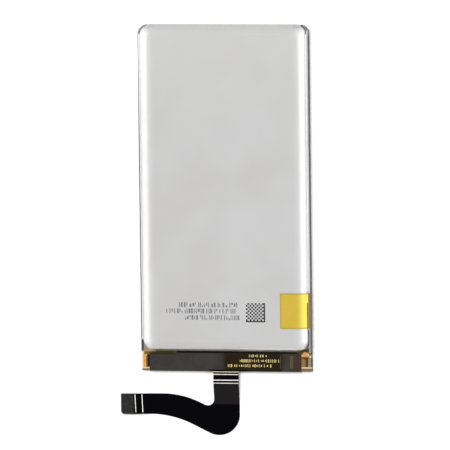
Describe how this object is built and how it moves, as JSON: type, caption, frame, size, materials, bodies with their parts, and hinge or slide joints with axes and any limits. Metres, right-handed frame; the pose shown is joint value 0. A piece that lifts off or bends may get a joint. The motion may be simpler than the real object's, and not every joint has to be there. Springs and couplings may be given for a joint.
{
  "type": "mobile phone battery",
  "caption": "Flat pouch battery for a mobile phone, with a dark circuit strip on its sealed end, insulating tapes and a flat flexible tail that ends in a small plug.",
  "frame": {"origin": "centre of the pouch's flat back, between its plain end and the foot of its sealed end", "axes": "+X across the pouch, +Y along it towards its plain end, +Z out of the drawn face; the tail leaves the other end and turns towards -X"},
  "size_m": [0.0543, 0.116, 0.0048],
  "materials": {
    "foil": "satin laminate",
    "yellow_tape": "satin polyimide",
    "amber_tape": "gloss polyimide",
    "fibre_pad": "matt",
    "board": "matt glass fibre",
    "flex_cover": "satin cover film",
    "stiffener": "matt",
    "plug_plastic": "moulded",
    "plated_contact": "plated",
    "aluminium_strip": "bright",
    "nickel_strip": "bright",
    "sealing_film": "satin",
    "moulding_black": "matt",
    "capacitor_ceramic": "matt",
    "resistor_ceramic": "matt"
  },
  "bodies": {
    "root": {"pouch_cell": "foil", "side_tape": "yellow_tape", "wrap_tape": "amber_tape", "terrace_film": "amber_tape", "insulating_pad": "fibre_pad", "protection_board": "board", "flex_circuit": "flex_cover", "tail_stiffener": "stiffener", "connector_housing": "plug_plastic", "connector_contacts": "plated_contact", "connector_hold_downs": "plated_contact", "positive_tab": "aluminium_strip", "negative_tab": "nickel_strip", "positive_tab_sealant": "sealing_film", "negative_tab_sealant": "sealing_film", "positive_weld_plate": "nickel_strip", "negative_weld_plate": "nickel_strip", "protection_chip": "moulding_black", "switch_transistors": "moulding_black", "thermal_fuse": "moulding_black", "sense_resistor": "resistor_ceramic", "chip_resistors": "resistor_ceramic", "chip_capacitors": "capacitor_ceramic", "thermistor": "capacitor_ceramic"}
  },
  "joints": []
}
